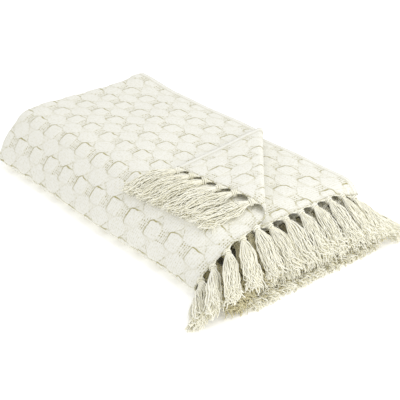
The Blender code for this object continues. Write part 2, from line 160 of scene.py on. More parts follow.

# Open strips between the squares, with painted shade in the holes between their threads
STRIP_ACROSS = (0.19, 0.27)
STRIP_ALONG = (0.28, 0.33)
OPEN_THREAD_X = 0.0054
OPEN_THREAD_WAY = 0.0050
OPEN_COLUMNS = (-0.2, 0.7)
OPEN_ROWS = (-0.5, 0.5)
OPEN_ROW_LEAST = 0.35
OPEN_SPOTS = (0.42, 0.60)
OPEN_SPOT_LEAST = 0.15
STRIP_DARK = 0.85
PORE_DARK = 0.22

# Dotted edges of the lenses, painted shade that is fainter on their far side, and painted shade
# between the lenses
LENS_RIM = (0.02, 0.11)
LENS_SIDES = (-0.04, 0.06)
LENS_FAR_SHARE = 0.45
LENS_EDGE_DARK = 0.46
SQUARE_BORDER = (-0.0005, 0.001)
PAST_LENS = (0.75, 1.15)
BETWEEN_SHADE = 0.18

# Pair of selvage lines, and painted shade in the row of holes that the tassels come out of
SELVAGE_LINE = 0.0120
SELVAGE_PAIR = 0.0015
SELVAGE_LINE_WIDTH = (0.0002, 0.0012)
SELVAGE_DARK = 0.35
PAST_SELVAGE = 0.0160
ROOT_ROW = (0.001, 0.007)
ROOT_DARK = 0.55

# Finish of the cotton: matte fibres with a faint sheen, which is stronger on loose yarn.
# The yarn's fuzz is 1.1 mm grains, as coarse as it needs to be to show.
FIBRE_SPECULAR = 0.15
SHEEN_ROUGHNESS = 0.5
CLOTH_ROUGHNESS = 0.95
CLOTH_SHEEN = 0.1
CLOTH_BUMP = 0.0010
YARN_ROUGHNESS = 0.92
YARN_SHEEN = 0.6
YARN_BUMP = 0.0006
BUMP_STRENGTH = 0.8
FUZZ_SCALE = 900.0
FUZZ_DETAIL = 2.0

# Shader nodes that the patterns are worked out with, and the setting of each
MATH = "ShaderNodeMath"
RANGE = "ShaderNodeMapRange"
NODE_SETTING = {MATH: "operation", RANGE: "interpolation_type"}

# Sockets of the node that mixes two colours
FIRST_COLOUR = 6
SECOND_COLOUR = 7
MIXED_COLOUR = 2

# Plain bands without relief, at the fringed ends, the selvages and on the floor, and
# the share of each that is quite flat
PLAIN_END = 0.012
PLAIN_END_FLAT = 0.3
PLAIN_SIDE = 0.020
PLAIN_SIDE_FLAT = 0.5
FLOOR_FLATTENED = 0.012
FLOOR_FLAT = 0.3

# Mesh of the cloth: columns of the turn, the share of the inner ply's length that is
# hidden, the width of the cloth that shows, and how much coarser hidden parts are
TURN_COLUMNS = 10
INNER_HIDDEN = 0.56
WIDTH_SHOWN = 0.475
COARSER = 3

# Fringe: pitch and knots, and how the strands fan, wave, curl and thin out
TASSEL_PITCH = 0.0373
STRIP_GAP = 0.0006
KNOT_AT = 0.0082
KNOT_AT_SHARES = (0.75, 1.25)
WIDTH_SHARES = (0.84, 1.04)
TASSEL_LEAN = 0.003
KNOT_REACH = 0.0090
KNOT_CORE = 0.0028
KNOT_RADIUS = 0.0064
KNOT_ROUNDING = 0.0018
KNOT_LENGTH = 0.0095
KNOT_TILT = 0.0006
KNOT_TURNS = 2.8
KNOT_STEPS = 28
KNOT_YARN = 1.7
ROOT_HIDDEN = 0.001
ROOT_SPREAD = 0.42
ROOT_LIFT = 0.0006
STRAND_LENGTHS = (0.88, 1.05)
ROOT_YARN = 0.75
BEFORE_KNOT_YARN = 0.8
IN_KNOT_YARN = 0.9
TIP_YARN = 0.7
NECK = 0.0040
FAN_SPEED = 3.0
FAN_ROUNDING = 0.8
WAVE_LENGTHS = (0.018, 0.045)
WAVE_START = 0.0004
WAVE_END = 0.0022
CURL = 0.009
CURL_FROM = 0.66
CURL_TURN = 3.4
TIP_CROWDING = 1.5
DRIFT = 0.005
LEVEL_LEAN = 0.15
LEAN_SPAN = 0.16
FLAP_LEAN = 0.046
FLAP_LEAN_BEND = 0.75
STEEPEST_SLANT = 0.95
TURNED_BY = 0.6
FLAP_ROOTS = (0.012, 0.050, 0.083, 0.124, 0.160, 0.203)
FLAP_LOWEST = -0.003

# Way of the cloth round the stack, seen from the fringed end.
# Columns: stretch, outer ply y and z, inner ply y and z,
# fringed edge x of the outer and the inner ply
SECTION = (
    ("open side", 0.4060, 0.1215, 0.4020, 0.1095, 0.684, 0.698),
    ("top back", 0.3800, 0.1222, 0.3790, 0.1102, 0.684, 0.698),
    ("top middle", 0.2500, 0.1226, 0.2500, 0.1104, 0.684, 0.698),
    ("top front", 0.1500, 0.1229, 0.1520, 0.1100, 0.690, 0.692),
    ("shoulder start", 0.1050, 0.1215, 0.1080, 0.1080, 0.700, 0.684),
    ("shoulder", 0.0760, 0.1155, 0.0840, 0.1005, 0.700, 0.683),
    ("upper slope", 0.0500, 0.0970, 0.0640, 0.0850, 0.698, 0.681),
    ("middle slope", 0.0290, 0.0745, 0.0480, 0.0660, 0.692, 0.678),
    ("lower slope", 0.0100, 0.0450, 0.0350, 0.0490, 0.684, 0.673),
    ("belly", 0.0030, 0.0245, 0.0310, 0.0405, 0.680, 0.670),
    ("toe", 0.0150, 0.0085, 0.0370, 0.0345, 0.678, 0.669),
    ("floor front", 0.0340, 0.0015, 0.0500, 0.0325, 0.676, 0.668),
    ("floor middle", 0.2000, 0.0015, 0.2000, 0.0320, 0.674, 0.668),
    ("floor back", 0.3700, 0.0015, 0.3620, 0.0325, 0.672, 0.666),
    ("back toe", 0.3940, 0.0110, 0.3760, 0.0330, 0.678, 0.668),
    ("back belly", 0.4075, 0.0480, 0.3870, 0.0490, 0.690, 0.670),
    ("back shoulder", 0.4020, 0.0850, 0.3840, 0.0740, 0.697, 0.672),
    ("back top", 0.3830, 0.1000, 0.3710, 0.0840, 0.698, 0.672),
    ("inside back", 0.3400, 0.0960, 0.3330, 0.0800, 0.696, 0.668),
    ("inside middle", 0.2000, 0.0830, 0.2000, 0.0670, 0.680, 0.662),
    ("inside edge", 0.0960, 0.0770, 0.1000, 0.0610, 0.672, 0.660),
)
OUTER = 0
INNER = 1
TURN_FROM = -1.0
INNER_FROM = -2.0

# Fringe strips along the edges of the two plies.
# Columns: solid it stands for, ply, first stretch and place in it, last stretch
# and place, share of the root's height at the tip, lowest tip, bend, outward splay in radians
FRINGES = (
    ("fringe_top_inner", INNER, "open side", 0.10, "top front", 0.20, 0.42, 0.0, 1.5, 0.05),
    ("fringe_front", OUTER, "top front", 0.05, "toe", 0.60, 0.46, 0.0025, 1.4, 0.68),
    ("fringe_front_inner", INNER, "top front", 0.35, "toe", 0.80, 0.36, 0.0100, 1.3, 0.12),
    ("fringe_floor", OUTER, "floor front", 0.05, "floor back", 0.90, 0.0, 0.0025, 0.6, 0.03),
    ("fringe_floor_inner", INNER, "floor front", 0.10, "floor back", 0.90, 0.0, 0.0098, 0.4, 0.03),
    ("fringe_back", OUTER, "back toe", 0.20, "inside edge", 0.00, 0.38, 0.0098, 1.3, 0.34),
    ("fringe_back_inner", INNER, "back toe", 0.60, "inside edge", 0.00, 0.38, 0.0100, 1.2, 0.05),
)

# Strips under other tassels, whose yarn has a darker, more olive copy of the yarn colour as painted
# shade, and fewer strands
DEEP_FRINGES = ("fringe_front_inner", "fringe_floor_inner", "fringe_back_inner")

# Camera, floor and lights of the studio
CAMERA_TARGET = Vector((0.0447, 0.0448, 0.0))
CAMERA_AZIMUTH = math.radians(50.43)
CAMERA_ELEVATION = math.radians(27.774)
CAMERA_DISTANCE = 2.0275
CAMERA_LENS = 85.25
CAMERA_SENSOR = 36.0
CAMERA_REACH = 50.0
FLOOR_SIZE = 12.0
KEY_PLACE = Vector((0.9, 0.5, 2.2))
KEY_SIZE = 1.6
FILL_PLACE = Vector((2.3, 0.1, 0.9))
FILL_SIZE = 1.2
LIGHT_BOUNCES = 12


def linear(hex_colour):
    """Linear colour of an sRGB hex value."""
    shares = [int(hex_colour[i : i + 2], 16) / 255 for i in (0, 2, 4)]
    return [s / 12.92 if s <= 0.04045 else ((s + 0.055) / 1.055) ** 2.4 for s in shares]


def smooth(share):
    """Ease from 0 to 1 with level ends."""
    share = min(max(share, 0.0), 1.0)
    return share * share * (3.0 - 2.0 * share)


def row_ways():
    """Distance across the cloth to each row of the section."""
    ways = [0.0]
    for before, after in zip(SECTION, SECTION[1:]):
        ways.append(ways[-1] + math.dist(before[1:3], after[1:3]))
    return ways


WAYS = row_ways()
CLOTH_WIDTH = WAYS[-1]
CLOTH_LENGTH = 2 * (PLY_LENGTH - FOLD_X) + TURN_LENGTH
ROW_NUMBER = {row[0]: number for number, row in enumerate(SECTION)}


def row_slopes(column):
    """Slopes that keep a column between its own values."""
    values = [row[column] for row in SECTION]
    steps = [b - a for a, b in zip(WAYS, WAYS[1:])]
    rises = [(b - a) / step for a, b, step in zip(values, values[1:], steps)]
    slopes = [rises[0]]
    for left, right in zip(rises, rises[1:]):
        same_way = left * right > 0.0
        slopes.append(2.0 * left * right / (left + right) if same_way else 0.0)
    slopes.append(rises[-1])
    return slopes


SLOPES = {column: row_slopes(column) for column in range(1, 7)}


def row_way(name, share):
    """Distance across the cloth to a share of the way past a named row."""
    number = ROW_NUMBER[name]
    ahead = WAYS[min(number + 1, len(WAYS) - 1)] - WAYS[number]
    return WAYS[number] + share * ahead


def read_column(column, way):
    """Value of a section column at a distance across the cloth."""
    way = min(max(way, 0.0), CLOTH_WIDTH)
    number = min(bisect.bisect_right(WAYS, way) - 1, len(WAYS) - 2)
    step = WAYS[number + 1] - WAYS[number]
    u = (way - WAYS[number]) / step
    start, end = SECTION[number][column], SECTION[number + 1][column]
    rise, fall = SLOPES[column][number] * step, SLOPES[column][number + 1] * step
    return (
        (2 * u**3 - 3 * u**2 + 1) * start
        + (u**3 - 2 * u**2 + u) * rise
        + (3 * u**2 - 2 * u**3) * end
        + (u**3 - u**2) * fall
    )


def section_tangent(ply, way):
    """Unit direction (y, z) of a ply's section."""
    low, high = max(way - SLOPE_REACH, 0.0), min(way + SLOPE_REACH, CLOTH_WIDTH)
    y0, z0 = read_column(1 + 2 * ply, low), read_column(2 + 2 * ply, low)
    y1, z1 = read_column(1 + 2 * ply, high), read_column(2 + 2 * ply, high)
    span = math.hypot(y1 - y0, z1 - z0)
    return (y1 - y0) / span, (z1 - z0) / span


def section_point(ply, way, lift=0.0):
    """Point (y, z) of a ply's section, lifted off its outer face."""
    y, z = read_column(1 + 2 * ply, way), read_column(2 + 2 * ply, way)
    if lift:
        along = section_tangent(ply, way)
        y, z = y + lift * along[1], z - lift * along[0]
    return y, z


def edge_x(ply, way):
    """Where a ply's fringed edge lies."""
    return read_column(5 + ply, way)


def settle(point):
    """Let a point of the even stack sag and swell, and move it to the origin."""
    x, y, z = point
    height = max(z - CLOTH_THICKNESS / 2, 0.0)
    near_part = 1.0 - smooth((y - NEAR_SAG_Y) / NEAR_SAG_EASE)
    corner_part = smooth((y - CORNER_SAG_Y) / CORNER_SAG_WIDTH)
    near_end = smooth((x - END_SAG_START) / (END_SAG_FULL - END_SAG_START))
    far_end = smooth((x - FAR_SAG_START) / (END_SAG_FULL - FAR_SAG_START))
    corner_end = min(max((x - CORNER_SAG_START) / CORNER_SAG_LENGTH, 0.0), 1.0) ** 2
    fall = END_SAG * near_end * near_part + FAR_SAG * far_end * (1.0 - near_part)
    fall += CORNER_SAG * corner_end * corner_part
    long_turn = 2 * math.pi * (x / LONG_SWELL_LENGTH + LONG_SWELL_SHIFT)
    short_turn = 2 * math.pi * (x / SHORT_SWELL_LENGTH + y / SHORT_SWELL_WIDTH)
    side_turn = 2 * math.pi * (x / SIDE_SWELL_LENGTH - SIDE_SWELL_SHIFT)
    swell = LONG_SWELL * math.sin(long_turn) * math.cos(2 * math.pi * y / LONG_SWELL_WIDTH)
    swell += SHORT_SWELL * math.sin(short_turn)
    open_corner = smooth((y - OPEN_CORNER_Y) / OPEN_CORNER_WIDTH)
    raised = smooth(1.0 - x / RAISED_CORNER_LENGTH) * open_corner * height / STACK_HEIGHT
    lean = max(1.0 - abs(y) / SIDE_SWELL_DEPTH, 0.0) * math.sin(side_turn)
    z += height * (swell - fall) + RAISED_CORNER * raised
    y += SIDE_SWELL * lean * min(height / SIDE_SWELL_HEIGHT, 1.0)
    return Vector((x - ORIGIN_X, y - ORIGIN_Y, z))


def crease():
    """A point of the crease on the flat cloth and its direction."""
    on_side = Vector((CREASE_ON_SIDE_X, 0.0))
    on_edge = Vector((PLY_LENGTH, SECTION[0][1] - CREASE_ON_EDGE_Y))
    return on_side, (on_edge - on_side).normalized()


def past_crease(flat):
    """Distance of a flat point past the start of the crease's bend."""
    on_side, along = crease()
    away = flat - on_side
    return away.x * along.y - away.y * along.x + CREASE_RADIUS


def turn_corner(flat):
    """Flat point and lift of the outer ply once its corner is turned back."""
    past = past_crease(flat)
    if past <= 0.0:
        return flat, 0.0
    on_side, along = crease()
    across = Vector((along.y, -along.x))
    half_turn = math.pi * CREASE_RADIUS
    if past < half_turn:
        angle = past / CREASE_RADIUS
        forward = CREASE_RADIUS * math.sin(angle)
        lift = CREASE_RADIUS * (1.0 - math.cos(angle))
    else:
        forward = half_turn - past
        settled = smooth((past - half_turn) / FLAP_SETTLING)
        lift = 2 * CREASE_RADIUS + (FLAP_LIFT - 2 * CREASE_RADIUS) * settled
    return flat + across * (forward - past), lift


def outer_place(x_flat, way, lift=0.0):
    """Place of a point of the outer ply, given on the flat cloth."""
    flat, turned_lift = turn_corner(Vector((x_flat, way)))
    x = flat.x * edge_x(OUTER, flat.y) / PLY_LENGTH
    y, z = section_point(OUTER, flat.y, turned_lift + lift)
    return Vector((x, y, z))


def inner_hang(x, way):
    """How far the inner ply hangs below its section under the top."""
    across = math.sin(math.pi * min(way / INNER_HANG_WIDTH, 1.0)) ** 2
    return INNER_HANG * across * (1.0 - smooth(x / INNER_HANG_END))


def turn_place(share, way, lift=0.0):
    """Place in the turn that joins the plies at the folded end."""
    outer = Vector(section_point(OUTER, way))
    inner = Vector(section_point(INNER, way)) - Vector((0.0, inner_hang(0.0, way)))
    middle, half = (outer + inner) / 2, (outer - inner) / 2
    grown = 1.0 + lift / half.length
    angle = math.pi * share
    round_point = middle + half * grown * math.cos(angle)
    bulge = TURN_BULGE * half.length * grown * math.sin(angle)
    return Vector((FOLD_X - bulge, round_point.x, round_point.y))


def inner_place(x_share, way, lift=0.0):
    """Place of a point of the inner ply, by its share of the ply's length."""
    x = FOLD_X + x_share * (edge_x(INNER, way) - FOLD_X)
    y, z = section_point(INNER, way, lift)
    return Vector((x, y, z - inner_hang(x, way)))


def from_middle(value):
    """Signed share of a cell from its middle."""
    return value - math.floor(value + 0.5)


def relief(along, way):
    """Height of the weave's squares and lenses, from 0 to 1."""
    cell_x = (along - FIRST_SQUARE_X) / CELL_LENGTH
    cell_way = (way - FIRST_SQUARE_WAY) / CELL_WIDTH
    square_x, square_way = from_middle(cell_x), from_middle(cell_way)
    lens_x, lens_way = from_middle(cell_x + 0.5), from_middle(cell_way + 0.5)
    square = smooth((SQUARE_HALF_LENGTH + square_x) / SQUARE_STEEP_EDGE + 0.5)
    square *= smooth((SQUARE_HALF_LENGTH - square_x) / SQUARE_SOFT_EDGE + 0.5)
    square *= smooth((SQUARE_HALF_WIDTH + square_way) / SQUARE_SOFT_EDGE + 0.5)
    square *= smooth((SQUARE_HALF_WIDTH - square_way) / SQUARE_SOFT_EDGE + 0.5)
    lens = max(0.0, 1.0 - (lens_x / LENS_HALF_LENGTH) ** 2 - (lens_way / LENS_HALF_WIDTH) ** 2)
    return max(square, LENS_HEIGHT * math.sqrt(lens))


def plain_share(along, way):
    """How far the weave has faded in at the fringed ends and the selvages."""
    past_end = min(PLY_LENGTH - along, along - PLY_LENGTH + CLOTH_LENGTH)
    past_side = min(way, CLOTH_WIDTH - way)
    from_end = smooth(past_end / PLAIN_END - PLAIN_END_FLAT)
    return from_end * smooth(past_side / PLAIN_SIDE - PLAIN_SIDE_FLAT)


def droop(root_z, beyond, length, hang):
    """Height of a tassel at a distance from its edge, and its reach along X."""
    share, lowest, bend, _ = hang
    tip_z = max(root_z * share, lowest)
    along = min(max(beyond / length, 0.0), 1.0)
    if bend < 1.0:
        height = tip_z + (root_z - tip_z) * (1.0 - along) ** 3
    else:
        height = root_z - (root_z - tip_z) * along**bend
    slant = min((root_z - tip_z) / length, STEEPEST_SLANT)
    return height, beyond * math.sqrt(1.0 - slant**2)


def side_lean(y):
    """How much the tassels splay outwards at a place across the stack."""
    to_side = min(y, SECTION[0][1] - y)
    lean = LEVEL_LEAN + (1.0 - LEVEL_LEAN) * smooth(1.0 - to_side / LEAN_SPAN)
    return lean if y > ORIGIN_Y else -lean


def hanging_place(ply, hang, length, way, beyond, aside, up):
    """Place on a free fringe: beyond its edge, aside along it, up off its middle."""
    y, z = section_point(ply, way)
    along_y, along_z = section_tangent(ply, way)
    height, reach = droop(z, beyond, length, hang)
    splay = hang[3] * side_lean(y)
    # A tassel from an upright edge turns level on its way down
    turned = smooth(beyond / (TURNED_BY * length))
    level = 1.0 if along_y > 0.0 else -1.0
    side = Vector((along_y + (level - along_y) * turned, along_z * (1.0 - turned))).normalized()
    return settle(Vector((
        edge_x(ply, way) + STRIP_GAP + reach * math.cos(splay),
        y + beyond * math.sin(splay) + aside * side.x + up * side.y,
        height + aside * side.y - up * side.x,
    )))


def turned_place(length, way, beyond, aside, up):
    """Place on the turned corner's fringe, which lies swept over the cloth."""
    swept = FLAP_LEAN * (max(beyond - KNOT_AT, 0.0) / length) ** FLAP_LEAN_BEND
    place = outer_place(PLY_LENGTH + STRIP_GAP + beyond, way + aside - swept, max(up, FLAP_LOWEST))
    return settle(place)


def add_node(tree, kind, inputs=None, **settings):
    """Add a node with its settings, and set or link its inputs."""
    node = tree.nodes.new(kind)
    for key, value in settings.items():
        setattr(node, key, value)
    for key, value in (inputs or {}).items():
        if isinstance(value, bpy.types.NodeSocket):
            tree.links.new(value, node.inputs[key])
        else:
            node.inputs[key].default_value = value
    return node


def work_out(tree, found, steps):
    """Work out a pattern in named steps: each names its node, its setting and its values."""
    for name, kind, setting, *values in steps:
        inputs = {i: found[v] if isinstance(v, str) else v for i, v in enumerate(values)}
        settings = {NODE_SETTING[kind]: setting}
        found[name] = add_node(tree, kind, inputs, **settings).outputs[0]


def mix_colours(tree, share, first, second):
    """Colour between two others."""
    inputs = {"Factor": share, FIRST_COLOUR: first, SECOND_COLOUR: second}
    return add_node(tree, "ShaderNodeMix", inputs, data_type="RGBA").outputs[MIXED_COLOUR]


def new_material(name):
    """Empty material and its node tree."""
    made = bpy.data.materials.new(name)
    made.use_nodes = True
    made.node_tree.nodes.clear()
    return made, made.node_tree


def finish_material(tree, colour, height, bump_height, roughness, sheen):
    """Matte cotton shader with its bump."""
    bump = add_node(tree, "ShaderNodeBump", {
        "Height": height, "Strength": BUMP_STRENGTH, "Distance": bump_height,
    })
    shader = add_node(tree, "ShaderNodeBsdfPrincipled", {
        "Base Color": colour,
        "Roughness": roughness,
        "Specular IOR Level": FIBRE_SPECULAR,
        "Sheen Weight": sheen,
        "Sheen Roughness": SHEEN_ROUGHNESS,
        "Normal": bump.outputs["Normal"],
    })
    add_node(tree, "ShaderNodeOutputMaterial", {"Surface": shader.outputs["BSDF"]})


def weave_places(tree, found):
    """Place of a point in its weave cell, and its distance from the raised square's rim."""
    work_out(tree, found, (
        ("wander", MATH, "MULTIPLY_ADD", "uneven", WANDER, -WANDER / 2),
        ("moved x", MATH, "ADD", "x", "wander"),
        ("moved way", MATH, "SUBTRACT", "way", "wander"),
        ("from first x", MATH, "SUBTRACT", "moved x", FIRST_SQUARE_X),
        ("from first way", MATH, "SUBTRACT", "moved way", FIRST_SQUARE_WAY),
        ("cell x", MATH, "DIVIDE", "from first x", CELL_LENGTH),
        ("cell way", MATH, "DIVIDE", "from first way", CELL_WIDTH),
        ("round x", MATH, "ROUND", "cell x"),
        ("round way", MATH, "ROUND", "cell way"),
        ("square x", MATH, "SUBTRACT", "cell x", "round x"),
        ("square way", MATH, "SUBTRACT", "cell way", "round way"),
        ("beside x", MATH, "ABSOLUTE", "square x"),
        ("beside way", MATH, "ABSOLUTE", "square way"),
        ("metres x", MATH, "MULTIPLY", "beside x", CELL_LENGTH),
        ("metres way", MATH, "MULTIPLY", "beside way", CELL_WIDTH),
        ("corner x", MATH, "SUBTRACT", "metres x", SQUARE_HALF_LENGTH * CELL_LENGTH - SQUARE_ROUND),
        ("corner way", MATH, "SUBTRACT", "metres way", SQUARE_HALF_WIDTH * CELL_WIDTH - SQUARE_ROUND),
        ("out x", MATH, "MAXIMUM", "corner x", 0.0),
        ("out way", MATH, "MAXIMUM", "corner way", 0.0),
        ("out x squared", MATH, "MULTIPLY", "out x", "out x"),
        ("out squared", MATH, "MULTIPLY_ADD", "out way", "out way", "out x squared"),
        ("out", MATH, "SQRT", "out squared"),
        ("in either", MATH, "MAXIMUM", "corner x", "corner way"),
        ("in", MATH, "MINIMUM", "in either", 0.0),
        ("from middle", MATH, "ADD", "out", "in"),
        ("past rim", MATH, "SUBTRACT", "from middle", SQUARE_ROUND - RIM_INSET),
        ("lens x", MATH, "SUBTRACT", 0.5, "beside x"),
        ("lens way", MATH, "SUBTRACT", 0.5, "beside way"),
        ("lens x share", MATH, "DIVIDE", "lens x", LENS_HALF_LENGTH),
        ("lens way share", MATH, "DIVIDE", "lens way", LENS_HALF_WIDTH),
        ("lens x part", MATH, "POWER", "lens x share", LENS_POWER),
        ("lens way part", MATH, "POWER", "lens way share", LENS_POWER),
        ("lens", MATH, "ADD", "lens x part", "lens way part"),
        ("past width", MATH, "SUBTRACT", CLOTH_WIDTH, "way"),
        ("to side", MATH, "MINIMUM", "way", "past width"),
        ("past length", MATH, "SUBTRACT", PLY_LENGTH, "x"),
        ("before end", MATH, "ADD", "x", CLOTH_LENGTH - PLY_LENGTH),
        ("to end", MATH, "MINIMUM", "past length", "before end"),
    ))


def weave_lines(tree, found):
    """Dark share of the weave: painted shade on the rims, in the open strips, along the dotted lens
    edges and in the root holes, and the selvage lines.
    """
    work_out(tree, found, (
        # Rims: painted shade in the grooves round the raised squares, darker on the sides turned from
        # the light and faded in patches
        ("rim off", MATH, "ABSOLUTE", "past rim"),
        ("rim width", RANGE, "LINEAR", "way", *TOP_TO_SIDE_WAYS, RIM_WIDTH_ON_TOP, RIM_WIDTH_ON_SIDE),
        ("rim share", MATH, "DIVIDE", "rim off", "rim width"),
        ("rim", RANGE, "SMOOTHSTEP", "rim share", *RIM_FADE, 1.0, 0.0),
        # The sign of x turns the rim's side over on the inner ply, so that the painted shade falls on
        # the same side in the world on both plies
        ("ply", MATH, "SIGN", "x"),
        ("square along", MATH, "MULTIPLY", "square x", "ply"),
        ("rim turn", MATH, "MULTIPLY_ADD", "square way", RIM_SLANT, "square along"),
        ("rim side", RANGE, "SMOOTHSTEP", "rim turn", *RIM_SIDES, 1.0, RIM_FAINT_SHARE),
        ("rim wear", RANGE, "SMOOTHSTEP", "uneven", *RIM_PATCHES, RIM_PATCH_SHARE, 1.0),
        ("rim worn", MATH, "MULTIPLY", "rim", "rim side"),
        ("rim line", MATH, "MULTIPLY", "rim worn", "rim wear"),
        ("strip across", RANGE, "SMOOTHSTEP", "beside way", *STRIP_ACROSS, 1.0, 0.0),
        ("strip along", RANGE, "SMOOTHSTEP", "beside x", *STRIP_ALONG, 0.0, 1.0),
        ("strip", MATH, "MULTIPLY", "strip across", "strip along"),
        ("open x", MATH, "MULTIPLY", "x", 2 * math.pi / OPEN_THREAD_X),
        ("open way", MATH, "MULTIPLY", "way", 2 * math.pi / OPEN_THREAD_WAY),
        ("open x wave", MATH, "SINE", "open x"),
        ("open way wave", MATH, "SINE", "open way"),
        ("open columns", RANGE, "SMOOTHSTEP", "open x wave", *OPEN_COLUMNS, 0.0, 1.0),
        ("open rows", RANGE, "SMOOTHSTEP", "open way wave", *OPEN_ROWS, OPEN_ROW_LEAST, 1.0),
        ("open here", RANGE, "SMOOTHSTEP", "speckle", *OPEN_SPOTS, OPEN_SPOT_LEAST, 1.0),
        ("hole", MATH, "MULTIPLY", "open columns", "open rows"),
        ("open hole", MATH, "MULTIPLY", "hole", "open here"),
        ("strip dark", MATH, "MULTIPLY", "strip", "open hole"),
        ("lens off", MATH, "SUBTRACT", "lens", 1.0),
        ("lens rim off", MATH, "ABSOLUTE", "lens off"),
        ("lens rim", RANGE, "SMOOTHSTEP", "lens rim off", *LENS_RIM, 1.0, 0.0),
        ("not on square", RANGE, "SMOOTHSTEP", "past rim", *SQUARE_BORDER, 0.0, 1.0),
        ("lens dots", MATH, "MULTIPLY", "lens rim", "open here"),
        ("lens side", RANGE, "SMOOTHSTEP", "square way", *LENS_SIDES, 1.0, LENS_FAR_SHARE),
        ("lens side dots", MATH, "MULTIPLY", "lens dots", "lens side"),
        ("lens line", MATH, "MULTIPLY", "lens side dots", "not on square"),
        ("past lens", RANGE, "SMOOTHSTEP", "lens", *PAST_LENS, 0.0, 1.0),
        ("between", MATH, "MULTIPLY", "past lens", "not on square"),
        ("selvage off", MATH, "SUBTRACT", "to side", SELVAGE_LINE),
        ("selvage beside", MATH, "ABSOLUTE", "selvage off"),
        ("selvage pair", MATH, "SUBTRACT", "selvage beside", SELVAGE_PAIR),
        ("selvage near", MATH, "ABSOLUTE", "selvage pair"),
        ("selvage line", RANGE, "SMOOTHSTEP", "selvage near", *SELVAGE_LINE_WIDTH, SELVAGE_DARK, 0.0),
        ("past selvage", RANGE, "SMOOTHSTEP", "to side", SELVAGE_LINE, PAST_SELVAGE, 0.0, 1.0),
        # Painted shade in the row of holes along the fringed ends
        ("root row", RANGE, "SMOOTHSTEP", "to end", *ROOT_ROW, ROOT_DARK, 0.0),
        ("root holes", MATH, "MULTIPLY", "root row", "open here"),
        # Strengths of the painted shade on the rims, in the open strips, along the lens edges and in
        # the pores
        ("rims", MATH, "MULTIPLY", "rim line", RIM_DARK),
        ("strips", MATH, "MULTIPLY", "strip dark", STRIP_DARK),
        ("lens edges", MATH, "MULTIPLY", "lens line", LENS_EDGE_DARK),
        ("pores", MATH, "MULTIPLY", "open hole", PORE_DARK),
        ("lines", MATH, "MAXIMUM", "rims", "strips"),
        ("finer lines", MATH, "MAXIMUM", "lens edges", "pores"),
        ("weave lines", MATH, "MAXIMUM", "lines", "finer lines"),
        ("weave", MATH, "MULTIPLY", "weave lines", "past selvage"),
        ("edges", MATH, "MAXIMUM", "selvage line", "root holes"),
        ("dark", MATH, "MAXIMUM", "weave", "edges"),
        ("threads", MATH, "MINIMUM", "long threads", "cross threads"),
        ("thread shade", RANGE, "SMOOTHSTEP", "threads", *THREAD_STREAKS, THREAD_SHADE, 0.0),
        ("shade", MATH, "MULTIPLY_ADD", "between", BETWEEN_SHADE, "thread shade"),
        ("height", MATH, "MULTIPLY", "threads", THREAD_HEIGHT),
        ("cut height", MATH, "SUBTRACT", "height", "dark"),
    ))


def cotton_material(colours):
    """Puffy woven cotton: matte, with painted shade in the gaps round its squares and in its open
    threads, along its lens edges and between its lenses.
    """
    made, tree = new_material("basket-woven cotton")
    flat = add_node(tree, "ShaderNodeUVMap", uv_map="flat cloth")
    parts = add_node(tree, "ShaderNodeSeparateXYZ", {"Vector": flat.outputs["UV"]})
    uneven = add_node(tree, "ShaderNodeTexNoise", {
        "Vector": flat.outputs["UV"], "Scale": UNEVEN_SCALE, "Detail": UNEVEN_DETAIL,
    })
    speckle = add_node(tree, "ShaderNodeTexNoise", {
        "Vector": flat.outputs["UV"], "Scale": SPECKLE_SCALE, "Detail": FINE_DETAIL,
    })
    found = {
        "x": parts.outputs["X"],
        "way": parts.outputs["Y"],
        "uneven": uneven.outputs["Fac"],
        "speckle": speckle.outputs["Fac"],
    }
    for name, stretch in (("long threads", THREADS_ALONG), ("cross threads", THREADS_ACROSS)):
        drawn = add_node(tree, "ShaderNodeMapping", {"Vector": flat.outputs["UV"], "Scale": stretch})
        streaks = add_node(tree, "ShaderNodeTexNoise", {
            "Vector": drawn.outputs["Vector"], "Scale": 1.0, "Detail": FINE_DETAIL,
        })
        found[name] = streaks.outputs["Fac"]
    weave_places(tree, found)
    weave_lines(tree, found)
    # Thread streaks and painted shade between the lenses, then painted shade in the gaps, holes and
    # lens edges, with the selvage lines
    thread_tone_and_shade = mix_colours(tree, found["shade"], (*colours.cloth, 1.0), (*colours.cloth_shade, 1.0))
    colour = mix_colours(tree, found["dark"], thread_tone_and_shade, (*colours.gap, 1.0))
    finish_material(tree, colour, found["cut height"], CLOTH_BUMP, CLOTH_ROUGHNESS, CLOTH_SHEEN)
    return made


def yarn_material(name, light, shade):
    """Loosely twisted cotton yarn: matte and soft, each strand a little different."""
    made, tree = new_material(name)
    geometry = add_node(tree, "ShaderNodeNewGeometry")
    place = add_node(tree, "ShaderNodeTexCoord")
    fuzz = add_node(tree, "ShaderNodeTexNoise", {
        "Vector": place.outputs["Object"], "Scale": FUZZ_SCALE, "Detail": FUZZ_DETAIL,
    })
    strand = geometry.outputs["Random Per Island"]
    colour = mix_colours(tree, strand, (*light, 1.0), (*shade, 1.0))
    finish_material(tree, colour, fuzz.outputs["Fac"], YARN_BUMP, YARN_ROUGHNESS, YARN_SHEEN)
    return made


def finish_piece(made, node, material):
    """Give a piece its body and its material, and hide the solid it stands for."""
    made.data.materials.clear()
    made.data.materials.append(material)
    made.data.shade_smooth()
    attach(made, "root")
    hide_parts(node)


